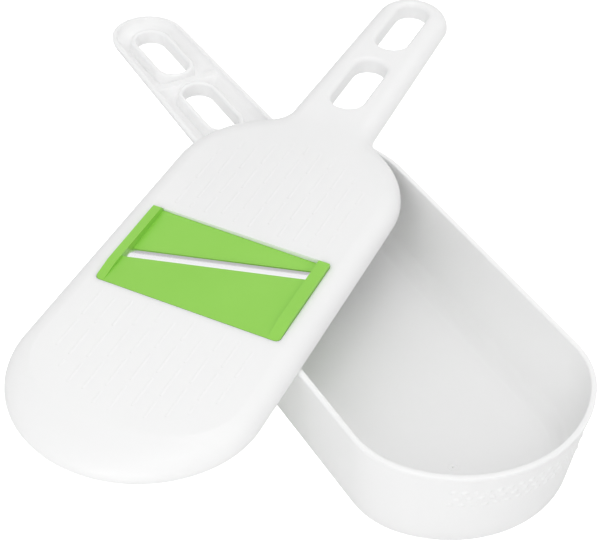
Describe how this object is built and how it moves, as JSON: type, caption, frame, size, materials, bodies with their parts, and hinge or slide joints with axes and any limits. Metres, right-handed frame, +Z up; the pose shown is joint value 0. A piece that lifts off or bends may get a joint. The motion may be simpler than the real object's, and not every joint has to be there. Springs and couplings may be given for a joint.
{
  "type": "mandoline slicer",
  "caption": "Hand-held mandoline slicer with a drop-in diagonal blade cassette, laid across its long-handled catch container.",
  "frame": {"origin": "middle of the container's base, on the surface it stands on", "axes": "+Y runs along the container towards its handle, +X to the right of it, +Z up; the slicer lies turned 55.2 degrees clockwise across the rim"},
  "size_m": [0.279, 0.314, 0.0484],
  "materials": {
    "white_plastic": "moulded white plastic with a fine satin texture",
    "green_plastic": "moulded lime green plastic, semi-gloss",
    "steel": "ground stainless steel with a polished top"
  },
  "bodies": {
    "container": {"container": "white_plastic", "container_handle": "white_plastic"},
    "slicer": {"slicer_plate": "white_plastic"},
    "cassette": {"blade_cassette": "green_plastic", "blade": "steel"}
  },
  "joints": [
    {"name": "slicer_lift", "type": "slide", "parent": "container", "child": "slicer", "axis": [0, 0, 1], "range_m": [0, 0.12]},
    {"name": "cassette_lift", "type": "slide", "parent": "slicer", "child": "cassette", "axis": [0, 0, 1], "range_m": [0, 0.03]}
  ]
}
